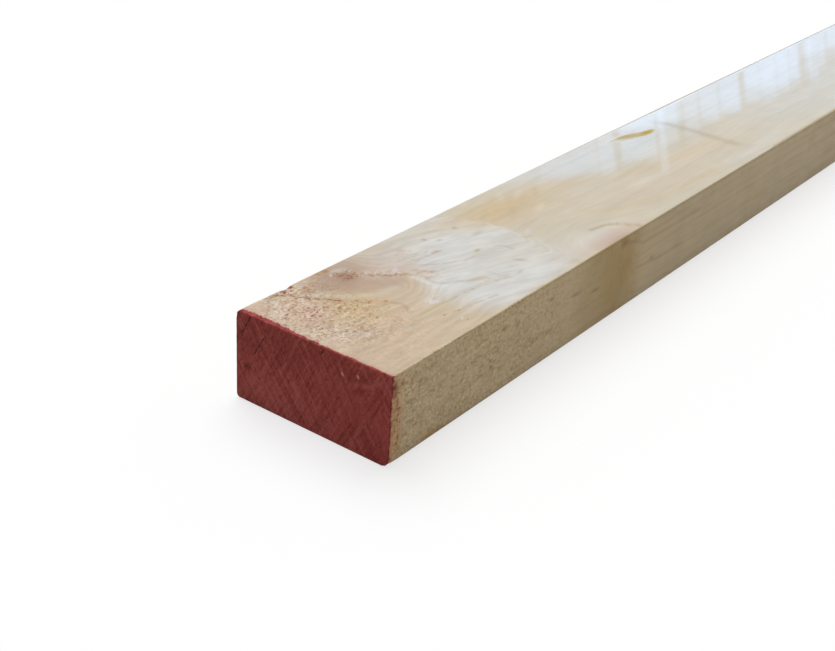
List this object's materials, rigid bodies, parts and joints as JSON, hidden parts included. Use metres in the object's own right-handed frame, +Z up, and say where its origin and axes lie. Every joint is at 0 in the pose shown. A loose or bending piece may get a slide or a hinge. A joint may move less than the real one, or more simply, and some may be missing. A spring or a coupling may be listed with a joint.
{
  "type": "roof batten",
  "caption": "Long rectangular bar of sawn softwood, twice as wide as it is thick, colour-marked at one end, nailed across rafters to carry roof tiles or slates.",
  "frame": {"origin": "middle of the underside, halfway along the batten and on the floor that it lies on", "axes": "+X along the batten, away from the colour-marked end; +Y across its width, to the left as seen from the marked end; +Z up through its thickness"},
  "size_m": [3.6, 0.05, 0.025],
  "materials": {
    "sawn_softwood": "sawn, pale, with knots and a slight sheen, one end brushed with dull red marking paint"
  },
  "bodies": {
    "root": {"batten": "sawn_softwood"}
  },
  "joints": []
}
